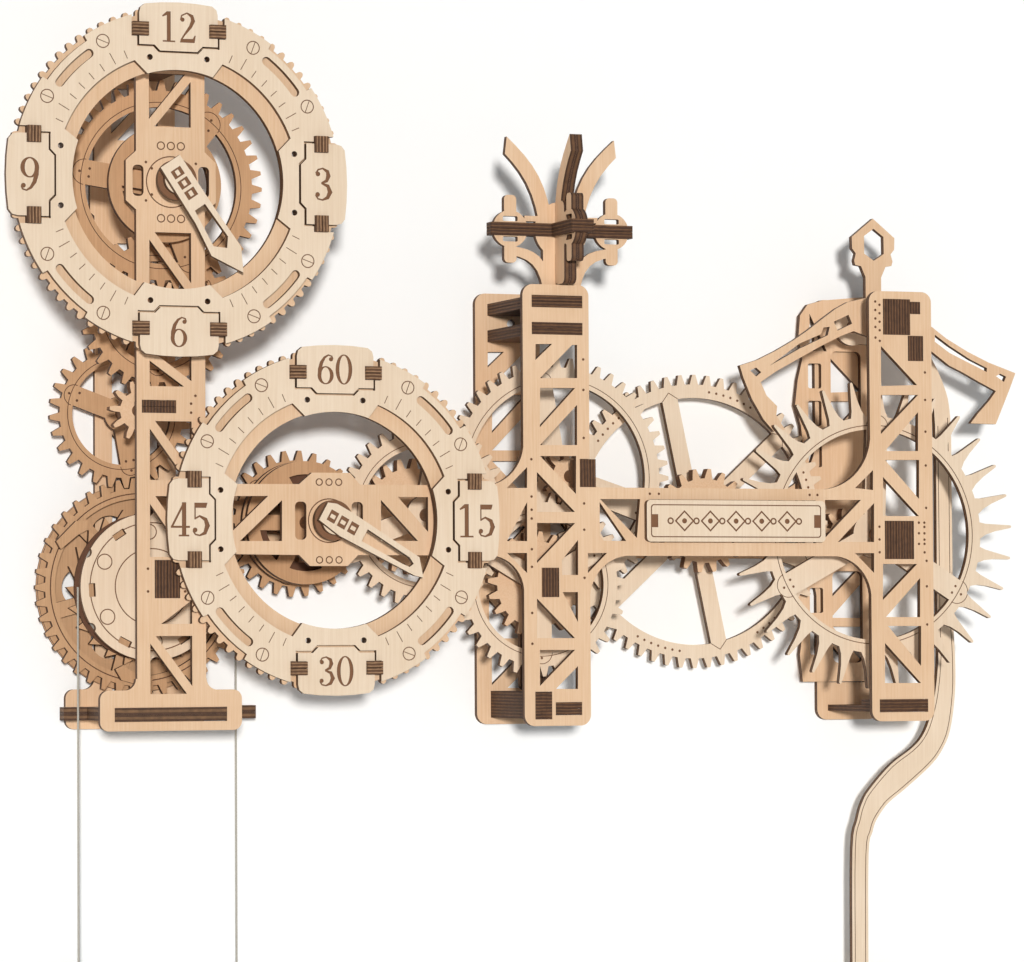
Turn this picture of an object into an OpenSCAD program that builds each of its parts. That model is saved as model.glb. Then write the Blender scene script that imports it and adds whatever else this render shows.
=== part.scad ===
// Wall clock made as a plywood construction kit: an hour dial, a minute dial, a
// weight-driven wheel train, an escape wheel with its anchor and a long pendulum.
// Millimetres. Z is up, the dials face -Y, and the wall is on the +Y side.
// The origin is the wall-screw hole, at the back face of the back frame.
// Sheets are drawn about a working point: X and Z across the face, Y back from it.

/* [Stock] */
// Thickness of the plywood sheets
ply = 3; // [2.9:0.05:3.05]
// Depth of the burnt engraving
burn = 0.4; // [0.2:0.1:0.8]
// Width of an engraved line
line_w = 0.35; // [0.3:0.05:0.6]
// Radius of the wheel arbors
arbor_r = 3; // [2.5:0.1:3.2]
// Radial play of an arbor in its bearing
play = 0.06; // [0.02:0.01:0.1]

/* [Dials] */
// Outer radius of the dial rings
dial_r = 75; // [72:0.5:76]
// Teeth around the back ring of each dial
dial_teeth = 80; // [60:2:100]
// Height of the hour and minute numbers
digit_h = 13.5; // [10:0.5:15]
// Length of the hour hand from its arbor
hour_len = 49.6; // [44:0.2:52]
// Length of the minute hand from its arbor
minute_len = 47.4; // [42:0.2:52]

/* [Wheels] */
// Module of every gear wheel
gear_m = 2.25; // [2.2:0.01:2.25]
// Teeth of the escape wheel
escape_teeth = 30; // [30:30:30]
// Tip radius of the escape wheel
escape_r = 72.8; // [68:0.2:73]

/* [Weights] */
// Thickness of the cords
cord_d = 1; // [0.8:0.1:1.4]
// Height below the working point at which the weights hang
hang_z = -225; // [-260:1:-222]
// Radius of the driving weight
weight_r = 15; // [12:0.5:17]
// Length of the driving weight
weight_len = 45; // [30:1:60]
// Radius of the pendulum bob
bob_r = 24; // [18:1:28]

/* [Hidden] */
$fn = 64;
wall_y = 60;
screw = [22, 76];
screw_r = 2;
bearing_r = arbor_r + play;
blind = 2;
hour = [-161, 131];
great = [-161, -47.5];
transfer = [-170, 30.73];
motion = [-160.67, 74.75];
minute = [-87.8, -18.46];
second = [minute[0] + sqrt(56.25 * 56.25 - 3.56 * 3.56), -14.9];
third = [second[0] + sqrt(63 * 63 - 31.7 * 31.7), -46.6];
fourth = [third[0] + sqrt(51.75 * 51.75 - 49.8 * 49.8), 3.2];
fifth = [fourth[0] + sqrt(76.5 * 76.5 - 19.7 * 19.7), -16.5];
escape = [fifth[0] + sqrt(78.75 * 78.75 - 6.8 * 6.8), -23.3];
anchor_c = [191, 77];
drum_r = 30.7;
pulley_r = 45.5;
weight_x = great[0] - drum_r - cord_d / 2;
counter_x = great[0] + pulley_r + cord_d / 2;
weight_y = 41;
counter_y = 54;
counter_r = 5.4;
counter_len = 40;
bob_z = -255;
rod_x = 192.4;
pale = [0.94, 0.86, 0.76];
tan = [0.89, 0.74, 0.58];
steel = [0.7, 0.7, 0.72];
dark = [0.35, 0.25, 0.18];
clip_x = 17.7;
clip_half = 3.6;

// ---- shared shapes -------------------------------------------------------
module at_wall() translate([-screw[0], -wall_y, -screw[1]]) children();
module solid(y0, t) translate([0, y0 + t, 0]) rotate([90, 0, 0]) linear_extrude(t) children();
module plate(y0, t = ply) at_wall() solid(y0, t) children();
module side_plate(x0, t = ply)
  at_wall() translate([x0, 0, 0]) rotate([90, 0, 90]) linear_extrude(t) children();
module block(x0, x1, y0, y1, z0, z1)
  at_wall() translate([x0, y0, z0]) cube([x1 - x0, y1 - y0, z1 - z0]);
module rod(c, y0, y1, r)
  at_wall() translate([c[0], y1, c[1]]) rotate([90, 0, 0]) cylinder(h = y1 - y0, r = r);
// a sheet with its engraving: first child the outline, second child the burnt lines
module etched(y0, t = ply) {
  difference() {
    plate(y0, t) children(0);
    plate(y0 - 1, 1 + burn) children(1);
  }
}
module ring(outer, inner) {
  difference() {
    circle(outer);
    circle(inner);
  }
}
module rounded(x0, z0, x1, z1, r) {
  translate([x0 + r, z0]) square([x1 - x0 - 2 * r, z1 - z0]);
  translate([x0, z0 + r]) square([x1 - x0, z1 - z0 - 2 * r]);
  for (x = [x0 + r, x1 - r], z = [z0 + r, z1 - r])
    translate([x, z]) circle(r, $fn = 32);
}
module box2(x0, z0, x1, z1) translate([x0, z0]) square([x1 - x0, z1 - z0]);
module mirrored(x) {
  children();
  translate([2 * x, 0]) mirror([1, 0]) children();
}
module dots(points, r = 0.6) for (p = points) translate(p) circle(r, $fn = 16);
module line(a, b, w = line_w) {
  d = b - a;
  translate(a) rotate(atan2(d[1], d[0])) translate([0, -w / 2]) square([norm(d), w]);
}
function polar(r, a) = [r * cos(a), r * sin(a)];
// twice the signed area of an outline, and the outline drawn anticlockwise
function turning(p) = let (n = len(p)) [for (i = [0 : n - 1]) cross(p[i],
  p[(i + 1) % n])] * [for (i = [1 : n]) 1];
module outline(p) polygon(turning(p) < 0 ? [for (i = [len(p) - 1 : -1 : 0]) p[i]] : p);
// two triangular windows left by one diagonal bar across a cell
module braced(x0, z0, x1, z1, rising, bar = 4) {
  w = x1 - x0;
  h = z1 - z0;
  kx = bar * norm([w, h]) / (2 * h);
  kz = bar * norm([w, h]) / (2 * w);
  translate([rising ? x0 : x1, z0]) mirror([rising ? 0 : 1, 0]) {
    outline([[0, kz], [w - kx, h], [0, h]]);
    outline([[kx, 0], [w, 0], [w, h - kz]]);
  }
}
// a tapering pen stroke through points of [x, z, width]
function stroke_side(p, i, s) =
  let (a = p[max(i - 1, 0)], b = p[min(i + 1, len(p) - 1)], d = [b[0] - a[0],
    b[1] - a[1]] / norm([b[0] - a[0], b[1] - a[1]]))
  [p[i][0] - s * d[1] * p[i][2] / 2, p[i][1] + s * d[0] * p[i][2] / 2];
module stroke(p)
  outline(concat([for (i = [0 : len(p) - 1]) stroke_side(p, i, 1)],
                 [for (i = [len(p) - 1 : -1 : 0]) stroke_side(p, i, -1)]));
module oval(x, z, rx, rz)
  outline([for (a = [0 : 12 : 348]) [x + rx * cos(a), z + rz * sin(a)]]);

// ---- numbers: each drawn one unit high ------------------------------------
module digit_0() {
  difference() {
    oval(0.3, 0.5, 0.29, 0.5);
    oval(0.3, 0.5, 0.16, 0.46);
  }
}
module digit_1() {
  box2(0.24, 0, 0.37, 1);
  box2(0.1, 0, 0.52, 0.05);
  outline([[0.24, 1], [0.08, 0.86], [0.1, 0.82], [0.24, 0.88]]);
}
module digit_2() {
  stroke([[0.07, 0.74, 0.05], [0.1, 0.88, 0.05], [0.28, 0.97, 0.05], [0.45, 0.87, 0.12],
    [0.49, 0.72, 0.14], [0.4, 0.52, 0.11], [0.2, 0.26, 0.06], [0.08, 0.08, 0.05]]);
  outline([[0.04, 0], [0.54, 0], [0.58, 0.24], [0.54, 0.24], [0.48, 0.13], [0.08, 0.12]]);
  translate([0.13, 0.75]) circle(0.07);
}
module digit_3() {
  stroke([[0.07, 0.82, 0.05], [0.14, 0.93, 0.05], [0.28, 0.97, 0.05], [0.43, 0.88, 0.11],
    [0.46, 0.75, 0.14], [0.4, 0.6, 0.1], [0.24, 0.53, 0.05]]);
  stroke([[0.24, 0.53, 0.05], [0.44, 0.45, 0.11], [0.51, 0.27, 0.15], [0.43, 0.1, 0.11],
    [0.27, 0.03, 0.05], [0.13, 0.06, 0.05], [0.06, 0.17, 0.05]]);
  translate([0.13, 0.8]) circle(0.07);
  translate([0.12, 0.19]) circle(0.07);
}
module digit_4() {
  box2(0.36, 0, 0.49, 1);
  box2(0.26, 0, 0.58, 0.05);
  box2(0.02, 0.25, 0.6, 0.31);
  stroke([[0.42, 0.98, 0.06], [0.05, 0.28, 0.06]]);
}
module digit_5() {
  outline([[0.1, 0.99], [0.5, 0.99], [0.46, 0.84], [0.14, 0.84], [0.14, 0.5], [0.1, 0.5]]);
  stroke([[0.11, 0.52, 0.05], [0.26, 0.6, 0.06], [0.44, 0.5, 0.12], [0.5, 0.32, 0.15],
    [0.42, 0.1, 0.11], [0.26, 0.03, 0.05], [0.13, 0.06, 0.05], [0.06, 0.17, 0.05]]);
  translate([0.12, 0.19]) circle(0.07);
}
module digit_6() {
  difference() {
    oval(0.3, 0.3, 0.28, 0.3);
    oval(0.3, 0.3, 0.15, 0.26);
  }
  stroke([[0.09, 0.3, 0.13], [0.1, 0.5, 0.13], [0.16, 0.72, 0.12], [0.27, 0.89, 0.08],
    [0.4, 0.97, 0.05], [0.52, 0.93, 0.05], [0.55, 0.84, 0.05]]);
  translate([0.49, 0.83]) circle(0.07);
}
module digit(d) {
  if (d == 0) digit_0();
  if (d == 1) digit_1();
  if (d == 2) digit_2();
  if (d == 3) digit_3();
  if (d == 4) digit_4();
  if (d == 5) digit_5();
  if (d == 6) digit_6();
  if (d == 9) translate([0.6, 1]) rotate(180) digit_6();
}
module number(digits, h)
  for (i = [0 : len(digits) - 1])
    translate([(i - len(digits) / 2) * 0.64 * h, -h / 2]) scale(h) digit(digits[i]);

// ---- dials: a front ring, a toothed back ring, four number plates ---------
module cardinals() for (a = [0 : 90 : 270]) rotate(a) children();
module number_plate_shape(gap = 0) {
  x = 18 + gap;
  outline([[-x, 73 + gap], [0.6 - x, 75.4 + gap], [-15.4, 77 + gap], [-8, 77.8 + gap], [0, 78.1 + gap],
    [8, 77.8 + gap], [15.4, 77 + gap], [x - 0.6, 75.4 + gap], [x, 73 + gap], [x, 59 - gap],
    [11 + gap / 2, 59 - gap], [8.5 + gap / 2, 56.5 - gap], [-8.5 - gap / 2, 56.5 - gap],
    [-11 - gap / 2, 59 - gap], [-x, 59 - gap]]);
}
// a curved slot with round ends, r from the centre and w wide
module arc_slot(r, w, half) outline(concat(
  [for (a = [-half : half / 4 : half]) polar(r + w / 2, a)],
  [for (b = [30 : 30 : 150]) polar(r, half) + polar(w / 2, half + b)],
  [for (a = [half : -half / 4 : -half]) polar(r - w / 2, a)],
  [for (b = [210 : 30 : 330]) polar(r, -half) + polar(w / 2, b - half)]));
module dial_slots() for (a = [45 : 90 : 315]) rotate(a) arc_slot(67.5, 4, 8);
module dial_front_shape() {
  difference() {
    union() {
      ring(dial_r, 55.5);
      cardinals() outline(concat([for (a = [68 : 4 : 112]) polar(57.5, a)],
        [for (a = [107 : -4 : 71]) polar(48.3, a)]));
    }
    for (a = [45 : 90 : 315]) rotate(a)
      outline(concat([for (b = [-10 : 4 : 10]) polar(dial_r - 2.5, b)], [polar(85, 11), polar(85, -11)]));
    dial_slots();
    cardinals() for (s = [-1, 1]) translate([13.06 * s, 53.5]) circle(1.3, $fn = 24);
    cardinals() number_plate_shape(0.9);
    cardinals() for (s = [-1, 1]) outline([[18 * s, 90], [18 * s, 58], [21.4 * s, 58], [21.4 * s, 90]]);
  }
  cardinals() for (s = [-1, 1]) outline([[18.9 * s, 62.6], [18.9 * s, 58], [24 * s, 58], [24 * s, 62.6]]);
  cardinals() for (s = [-1, 1]) outline([[21.3 * s, 71.9], [21.3 * s, 68.9], [24 * s, 68.9], [24 * s,
    71.1]]);
}
module dial_lines() {
  cardinals() {
    for (a = [24 : 6 : 66])
      rotate(a) translate([57.3, -line_w / 2]) square([a == 30 || a == 60 ? 5.5 : 3.7, line_w]);
    for (p = [[34.45, 59.6], [59.6, 34.45]]) translate(p) {
      ring(3.1, 2.65);
      rotate(-20) translate([-line_w / 2, -2.8]) square([line_w, 5.6]);
    }
  }
}
module dial_ring(c, y0) etched(y0) {
  translate(c) dial_front_shape();
  translate(c) dial_lines();
}
module dial_rack(c, y0) {
  plate(y0) translate(c) difference() {
    union() {
      circle(dial_r - 0.8);
      for (i = [0 : dial_teeth - 1]) rotate(360 / dial_teeth * i)
        outline([[73, -2], [75.9, -1.2], [76.6, -0.5], [76.6, 0.5], [75.9, 1.2], [73, 2]]);
    }
    circle(48.7);
    cardinals() for (s = [-1, 1]) translate([13.06 * s, 53.5]) circle(1.3, $fn = 24);
  }
}
module number_plates(c, y0, numbers) etched(y0) {
  translate(c) cardinals() difference() {
    number_plate_shape();
    for (s = [-1, 1]) translate([(clip_x + 1) * s, 65.8]) square([2 * clip_half + 2.2, 6.2],
      center = true);
  }
  translate(c) for (i = [0 : 3]) translate(polar(67.2, 90 - 90 * i))
    number(numbers[i], i % 2 == 1 ? digit_h + 1.5 : digit_h);
}
module clip_set(c, y0) {
  for (a = [0 : 90 : 270], s = [-1, 1], z = [-2.95, 0.1])
    at_wall() translate([c[0], 0, c[1]]) rotate([0, a, 0])
      translate([clip_x * s - clip_half, y0 - 2.4, 65.8 + z]) cube([2 * clip_half, 5.3, 2.85]);
}
module dial_spacers(c, y0, upright) {
  for (s = [-1, 1], k = [-1, 1])
    if (upright) rod([c[0] + 10 * k, c[1] + 61 * s], y0, 0, 3.5);
    else rod([c[0] + 61 * s, c[1] + 9 * k], y0, 0, 3.5);
}
module hand(c, y0, a, shape, window) difference() {
  etched(y0) {
    translate(c) rotate(90 - a) difference() {
      outline(shape);
      outline(window);
    }
    translate(c) rotate(90 - a) for (x = [-3, 2.4, 7.8]) translate([x, 0]) difference() {
      square([4, 5.2], center = true);
      square([2.4, 1.8], center = true);
    }
  }
  rod(c, y0 + 1, y0 + ply + 1, arbor_r);
}
// washers that keep a hand off the sheet behind it
module washers(c, y0, sizes) difference() {
  for (i = [0 : len(sizes) - 1]) plate(y0 + i * (ply + 0.1)) translate(c) circle(sizes[i]);
  rod(c, y0 - 1, 0, arbor_r);
}

// ---- wheels ----------------------------------------------------------------
// tooth: [height over or under the pitch circle in modules, half angle in quarter pitches]
wheel_tooth = [[-1.15, -1.25], [0, -0.8], [0.9, -0.45], [0.9, 0.45], [0, 0.8], [-1.15, 1.25]];
pinion_tooth = [[-1.2, -1], [0, -0.72], [0.9, -0.34], [0.9, 0.34], [0, 0.72], [-1.2, 1]];
function gear_points(n, tooth) =
  [for (k = [0 : n - 1]) for (v = tooth) polar(gear_m * (n / 2 + v[0]), 360 * k / n + 90 * v[1] / n)];
module toothed(c, n, turn, tooth = wheel_tooth) translate(c) rotate(turn) outline(gear_points(n, tooth));
// direction from one arbor to another, and the turn that puts the second wheel in mesh
function toward(a, b) = atan2(b[1] - a[1], b[0] - a[0]);
function meshed(a, b, turn_a, na, nb) =
  let (d = toward(a, b)) d + 180 + 180 / nb + (d - turn_a) * na / nb;
great_turn = 0;
transfer_turn = meshed(great, transfer, great_turn, 42, 28);
minute_turn = meshed(great, minute, great_turn, 42, 28);
motion_turn = meshed(transfer, motion, transfer_turn, 10, 30);
hour_turn = meshed(motion, hour, motion_turn, 10, 40);
second_turn = meshed(minute, second, minute_turn, 28, 22);
third_turn = meshed(second, third, second_turn, 36, 20);
fourth_turn = meshed(third, fourth, third_turn, 36, 10);
fifth_turn = meshed(fourth, fifth, fourth_turn, 48, 20);
escape_turn = meshed(fifth, escape, fifth_turn, 60, 10);

module spokes(c, angles, r, w) for (a = angles) translate(c) rotate(a) translate([0,
  -w / 2]) square([r, w]);
// spoke foot: a rounded lobe burnt into the rim, with rivet dots
module lobes(c, angles, r, w) for (a = angles) translate(c) rotate(a) {
  translate([r, 0]) intersection() {
    ring(w / 2 + line_w, w / 2);
    translate([0, -w]) square(2 * w);
  }
  dots([[r - 2, -1.8], [r - 2, 1.8], [r + 2.5, 0]]);
}
module rim_wheel(c, y0, n, turn, inner, hub, angles, w, mark) {
  difference() {
    etched(y0) {
      union() {
        difference() {
          toothed(c, n, turn);
          translate(c) circle(inner);
        }
        spokes(c, angles, inner + 1, w);
        translate(c) circle(hub);
      }
      union() {
        translate(c) ring(mark + line_w, mark);
        lobes(c, angles, inner + 0.5, w);
      }
    }
    rod(c, y0 - 1, y0 + ply + 1, arbor_r);
  }
}
module arbor_with(c, y0, y1, pinion_y, n, turn, tooth = pinion_tooth) {
  rod(c, y0, y1, arbor_r);
  plate(pinion_y, 5) toothed(c, n, turn, tooth);
}

// ---- frame -----------------------------------------------------------------
arbors_left = [great, transfer, motion, hour];
arbors_main = [minute, second, third, fourth, fifth, escape, anchor_c];
module foot(c, half_w, half_post) {
  rounded(c - half_w, -111.3, c + half_w, -93.4, 4);
  mirrored(c) difference() {
    box2(c + half_post - 1, -94, c + half_post + 5, -88.4);
    translate([c + half_post + 5, -88.4]) circle(5);
  }
}
module left_windows(x0, x1) {
  braced(x0, 155.5, x1, 179, true);
  braced(x0, 83, x1, 108.6, false);
  braced(x0, 40.5, x1, 54.2, false);
  braced(x0, -0.9, x1, 25.1, false);
  braced(x0, -34.8, x1, -8, false);
  outline([[x0 + 5, -64.3], [x1, -53.8], [x1, -64.3]]);
  braced(x0, -95.1, x1, -69.6, false);
}
module left_outline(x0, x1, c, hub_w) {
  box2(x0, -111.3, x1, 195);
  outline([[c + 15.7, 144.7], [c + hub_w, 140.1], [c + hub_w, 122.4], [c + 15.7, 118.1],
    [c - 15.7, 118.1], [c - hub_w, 122.4], [c - hub_w, 140.1], [c - 15.7, 144.7]]);
}
module tower_left_front() color(tan) difference() {
  etched(0) {
    difference() {
      union() {
        left_outline(-177, -145.4, hour[0], 20.7);
        foot(-161.4, 32.5, 16.2);
      }
      left_windows(-171, -151.8);
      box2(-187.3, -107.3, -135.8, -101);
      box2(-174.6, 28.7, -158.9, 34.4);
      box2(-168.9, -53, -157.3, -36.1);
      mirrored(hour[0]) rounded(hour[0] + 12.6, 124.4, hour[0] + 17.6, 138.2, 2);
    }
    union() {
      translate(hour) {
        ring(11.5, 11);
        dots([[-11.5, 8.5], [-8.8, 5.8], [11.5, 8.5], [8.8, 5.8], [-11.5, -8.5], [-8.8, -5.8]]);
      }
      for (z = [147, 114.8], k = [-1, 0, 1]) translate([hour[0] + 4.6 * k, z]) ring(1.9, 1.4);
      dots([[-152, 33], [-150, 36.5], [-152, 29], [-155, -40], [-155, -50], [-172, -40], [-172, -50]]);
    }
  }
  rod(hour, -1, ply + 1, bearing_r);
  for (c = [great, transfer, motion]) rod(c, ply - blind, ply + 1, bearing_r);
}
module tower_left_back() color(tan) difference() {
  plate(wall_y - ply) difference() {
    union() {
      left_outline(-180, -142, -161, 21);
      foot(-161.4, 32.5, 19);
    }
    left_windows(-172, -150);
    box2(-146.7, -24.1, -141, -11.9);
  }
  for (c = arbors_left) rod(c, wall_y - ply - 1, wall_y - ply + blind, bearing_r);
}
middle_windows = [
  [[11.9, 62.6], [20, 62.8], [11.8, 55.3]], [[29.8, 62.5], [32.3, 62.6], [32.2, 47.4], [14, 47.1]],
  [[14, 42.6], [31.2, 42.8], [13.8, 24.7]], [[32.1, 35.1], [32, 16.7], [13.8, 16.5]],
  [[13.8, 11.5], [31.5, 11.7], [31.3, -5.7]], [[12.2, 4.2], [12.1, -14], [30.8, -13.9]],
  [[12.1, -19], [30.8, -19], [12, -37.3]], [[24.2, -36], [32.2, -26.7], [32.1, -42.7], [24.2, -42.7]],
  [[24.5, -50.5], [32, -50.5], [31.9, -64.2]], [[11.9, -53.4], [30.4, -71.5], [11.8, -71.4]],
  [[13.2, -76.8], [30.4, -76.9], [13.1, -93.2]], [[31.8, -84.3], [31.7, -94.7], [20.9, -94.6]],
  [[7.4, 6.4], [7.3, -3.1], [-2.5, -3.2]], [[7.3, -9.5], [7.2, -27.3], [-2.6, -27.3]],
  [[-2.6, -32.7], [7.1, -32.7], [7.1, -41.8]], [[43, -9.3], [43, -24.6], [45, -27], [56, -27.1]],
  [[43.2, -7.9], [63.1, -7.8], [61.4, -25.7]], [[37.1, -32.7], [46.5, -32.6], [37, -41.8]]];
right_windows = [
  [[186.6, 65.1], [205.3, 47], [186.5, 46.2]], [[186.4, 42], [205.8, 42.3], [186.2, 23.6]],
  [[205.7, 34.2], [205.5, 15.8], [188.2, 15.6]], [[188.2, 11.4], [206, 11.6], [205.8, -6.8]],
  [[187.1, 3.4], [205.7, -14.9], [186.9, -15]], [[186.7, -37.5], [204.5, -37.5], [186.5, -54.4]],
  [[206, -44.1], [205.8, -62.5], [188, -62.4]], [[189, -66.6], [206.3, -66.7], [206.1, -85.5]],
  [[187.4, -74.6], [206, -93.5], [187.2, -93.4]], [[181.9, 6.6], [181.8, -2.8], [172.5, -1.9]],
  [[156.9, -7.6], [175.5, -7.5], [156.7, -25.4]], [[182.3, -8.9], [182.1, -27.2], [163.4, -27.2]],
  [[172.2, -32.4], [182.1, -32.4], [182, -41.7]]];
arm_windows = [
  [[-132.7, -7.7], [-116.4, -7.6], [-132.7, -23]], [[-109.9, -9.4], [-110, -27.6], [-129.6, -27.7]],
  [[-63.2, -9], [-63.2, -27.5], [-45.6, -27.4]], [[-55.1, -7.6], [-40.7, -7.6], [-40.7, -23.3]]];
module swoop(corner, r, sx, sz) {
  translate(corner) scale([sx, sz]) difference() {
    square(r);
    translate([r, r]) circle(r);
  }
}
module main_outline() {
  outline([[-145, -33.4], [-145, -2.4], [-101.9, -2.2], [-95.8, 3], [-77.8, 3], [-73.1, -2.2],
    [-15.6, -2.2], [10, -2.2], [10, -33.9], [-74.2, -33.8], [-79, -38.7], [-96.9, -38.7], [-102, -33.8]]);
  rounded(5.6, -111.4, 38.1, 90, 5);
  box2(30, -33.9, 190, -2.6);
  rounded(180.5, -111.3, 213, 91, 5);
  swoop([5.7, -2.3], 20, -1, 1);
  swoop([5.7, -33.8], 17, -1, -1);
  swoop([38, -2.7], 6, 1, 1);
  swoop([38, -33.8], 20, 1, -1);
  swoop([180.6, -2.7], 26, -1, 1);
  swoop([180.6, -33.8], 20, -1, -1);
}
module main_holes() {
  for (w = concat(middle_windows, right_windows, arm_windows)) outline(w);
  mirrored(minute[0]) rounded(minute[0] + 10.7, -27, minute[0] + 16, -10, 2);
  box2(68, -27.8, 152, -7.9);
}
module main_front() color(tan) difference() {
  etched(0) {
    difference() {
      main_outline();
      main_holes();
      for (z = [79.5, 67.1]) box2(10.1, z, 35, z + 5.6);
      box2(33.3, -2.5, 41.3, 10.4);
      box2(14.3, -52.8, 22.8, -39.4);
      box2(10.8, -108.4, 19, -95.8);
      box2(20.8, -106.6, 33.7, -100.7);
      box2(187.8, 70.5, 202, 87.4);
      box2(201.9, 80.5, 207.3, 86.3);
      box2(200.7, 58.3, 208.7, 70.2);
      box2(187.8, -35.2, 203, -17.2);
      box2(184.4, -107.1, 209.6, -101);
    }
    union() {
      translate(minute) ring(10, 9.5);
      for (k = [-1, 0, 1], z = [-1.2, -36]) translate([minute[0] + 4.6 * k, z]) ring(1.7, 1.2);
      dots([for (x = [68, 72.5, 149, 153], z = [-5.3]) [x, z]]);
      dots([for (x = [183.8, 186], z = [86, 82, 78, 74, 69]) [x, z + (x > 185 ? -1.5 : 0)]]);
      dots([for (x = [185, 208.5], z = [-20, -26, -32]) [x, z]]);
      dots([for (x = [205.6, 208.5], z = [-18, -23, -28]) [x, z]]);
      dots([for (z = [53, 40, 25, 9, -11, -36, -48, -66]) [209.5, z]]);
      dots([for (z = [10, -7, -13, -17, -31, -39, -60, -74]) [9.5, z]]);
      dots([for (z = [56, 42, 20, 4, -10, -22, -44]) [35.3, z]]);
    }
  }
  rod(minute, -1, ply + 1, bearing_r);
  for (c = [second, third, fourth, fifth, escape, anchor_c]) rod(c, ply - blind, ply + 1, bearing_r);
}
module main_back() color(tan) difference() {
  plate(wall_y - ply) difference() {
    translate([-1.6, 0]) main_outline();
    translate([-1.6, 0]) main_holes();
    box2(-150, -40, -141.9, -24);
    box2(-150, -12, -141.9, 2);
  }
  for (c = arbors_main) rod(c, wall_y - ply - 1, wall_y - ply + blind, bearing_r);
  rod(screw, wall_y - ply - 1, wall_y + 1, screw_r);
}
module rear_panel() color(tan) {
  y0 = wall_y - 2 * ply;
  difference() {
    plate(y0) difference() {
      outline([[208, -93], [208, 93], [182, 90.5], [174, 88.3], [170, 83], [169, 72], [171, 62],
        [168.5, 52],
        [167, 40], [170, 30], [171, 20], [168, 8], [168, -60], [170, -70], [168.5, -80], [170, -93]]);
      for (z = [-80, -60, -40, 10, 30, 48]) rounded(174, z, 181, z + 12, 1);
      rounded(186, 30, 202, 66, 3);
      rounded(186, -84, 202, -40, 3);
      outline([[175, 66], [184, 66], [175, 84]]);
    }
    for (c = [escape, anchor_c]) rod(c, y0 - 1, y0 + ply + 1, arbor_r + 0.5);
    rod(fifth, y0 - 1, y0 + ply + 1, arbor_r + 0.5);
  }
}
// short bearing blocks of stacked plies behind the front sheets, and the bridge
// that carries the rear end of the third arbor
module stack(x0, x1, z0, z1, n, upright, y1 = 12) {
  for (i = [0 : n - 1])
    if (upright) block(x0 + (x1 - x0) * i / n, x0 + (x1 - x0) * (i + 0.94) / n, -0.3, y1, z0, z1);
    else block(x0, x1, -0.3, y1, z0 + (z1 - z0) * i / n, z0 + (z1 - z0) * (i + 0.94) / n);
}
module bearing_blocks() color(dark) difference() {
  union() {
    stack(-174.5, -159, 28.8, 34.3, 2, false);
    stack(-168.8, -157.4, -52.9, -36.2, 4, true);
    stack(33.4, 41.2, -2.4, 10.3, 3, true);
    stack(14.4, 22.7, -52.7, -39.5, 3, true);
    stack(187.9, 201.9, 70.6, 87.3, 5, true);
    stack(202, 207.2, 80.6, 86.2, 2, true);
    stack(200.8, 208.6, 58.4, 70.1, 3, true);
    stack(187.9, 202.9, -35.1, -17.3, 5, true);
    plate(32) {
      rounded(16, -95.6, 29.6, -38, 3);
      box2(19.4, -100.8, 29.6, -90);
    }
    block(-152, -138, 3, 6, -32, -4);
  }
  for (c = [great, transfer, fourth, third, anchor_c, escape]) rod(c, ply - blind, 13, bearing_r);
  rod(third, 31, 32 + blind + 0.6, bearing_r);
}
// full-depth stacks that hold the front and back sheets apart
module combs() color(dark) {
  for (z = [79.6, 82.4, 67.2, 70]) block(10.2, 34.9, -0.3, wall_y - ply, z, z + 2.65);
  for (z = [-106.5, -103.6]) block(20.9, 33.6, -0.3, wall_y - ply, z, z + 2.8);
  for (x = [10.9, 13.6, 16.3]) block(x, x + 2.6, -0.3, wall_y - ply, -108.3, -95.9);
  for (z = [-107, -104]) block(184.5, 209.5, -0.3, z < -106 ? wall_y - ply : 20, z, z + 2.9);
  block(200.5, 207.8, ply, wall_y - 2 * ply, 88, 90.8);
  for (z = [183, 186]) block(-172, -150, ply, wall_y - ply, z, z + 2.9);
}
module foot_platform() color(pale) {
  for (z = [-107.1, -104.1]) {
    block(-187.2, -135.9, -0.3, wall_y - ply, z, z + 2.95);
    block(-198, -187.2, 45, 52, z, z + 2.95);
    block(-135.9, -108, 45, 52, z, z + 2.95);
  }
}
module nameplate() color(pale) etched(-ply) {
  rounded(65.2, -27.4, 155.6, -8.2, 2);
  difference() {
    union() {
      difference() {
        rounded(67.2, -25.4, 153.4, -10.2, 1.5);
        rounded(67.7, -24.9, 152.9, -10.7, 1.2);
      }
      for (x = [67.6, 149.8]) box2(x, -20.8, x + 3.2, -14.8);
      for (x = [84 : 13 : 136]) translate([x, -17.8]) {
        rotate(45) difference() {
          square(7, center = true);
          square(5.6, center = true);
        }
        circle(1.2);
      }
      for (x = [76 : 1 : 144]) if (x % 13 == 12) translate([x, -17.8]) ring(1.6, 0.9);
    }
    circle(1);
  }
}

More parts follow.
